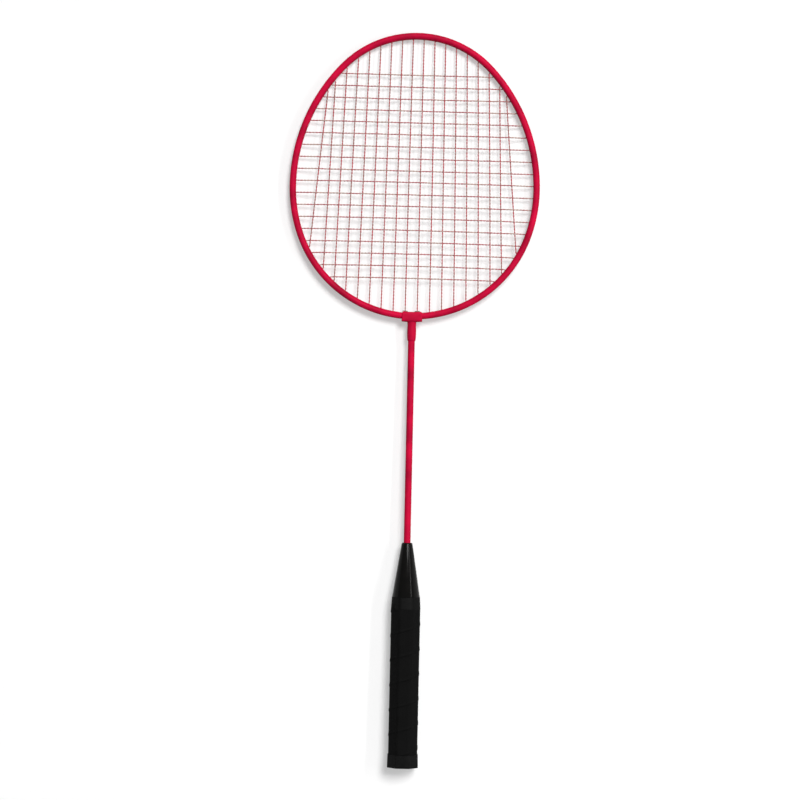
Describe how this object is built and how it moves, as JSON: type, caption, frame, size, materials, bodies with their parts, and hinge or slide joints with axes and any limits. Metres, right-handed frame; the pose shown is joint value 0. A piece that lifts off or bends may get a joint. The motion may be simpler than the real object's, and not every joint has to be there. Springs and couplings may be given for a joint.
{
  "type": "badminton racket",
  "caption": "Badminton racket: crimson oval steel head, red-flecked strings, T-joint, thin steel shaft, black cone and wrapped black grip.",
  "frame": {"origin": "middle of the butt cap's end face", "axes": "+Y runs from the butt to the head's top, +X across the head, +Z square to the string bed"},
  "size_m": [0.2268, 0.665, 0.0258],
  "materials": {
    "red_enamel": "gloss enamel on steel",
    "bare_steel": "plain",
    "eyelet_plastic": "dull brown",
    "string_nylon": "two twisted plies, red and natural",
    "core_wood": "planed, unvarnished",
    "cone_plastic": "gloss",
    "grip_leatherette": "matte, fine grain",
    "tape_plastic": "matte tape",
    "cap_plastic": "moulded, slight sheen"
  },
  "bodies": {
    "root": {"head_hoop": "red_enamel", "hoop_joint_plug": "bare_steel", "t_joint": "red_enamel", "throat_eyelets": "eyelet_plastic", "main_string": "string_nylon", "cross_string": "string_nylon", "shaft": "red_enamel", "handle_core": "core_wood", "shaft_nail": "bare_steel", "cone": "cone_plastic", "grip_wrap": "grip_leatherette", "grip_end_tape": "tape_plastic", "butt_cap": "cap_plastic", "butt_cap_staples": "bare_steel"}
  },
  "joints": []
}
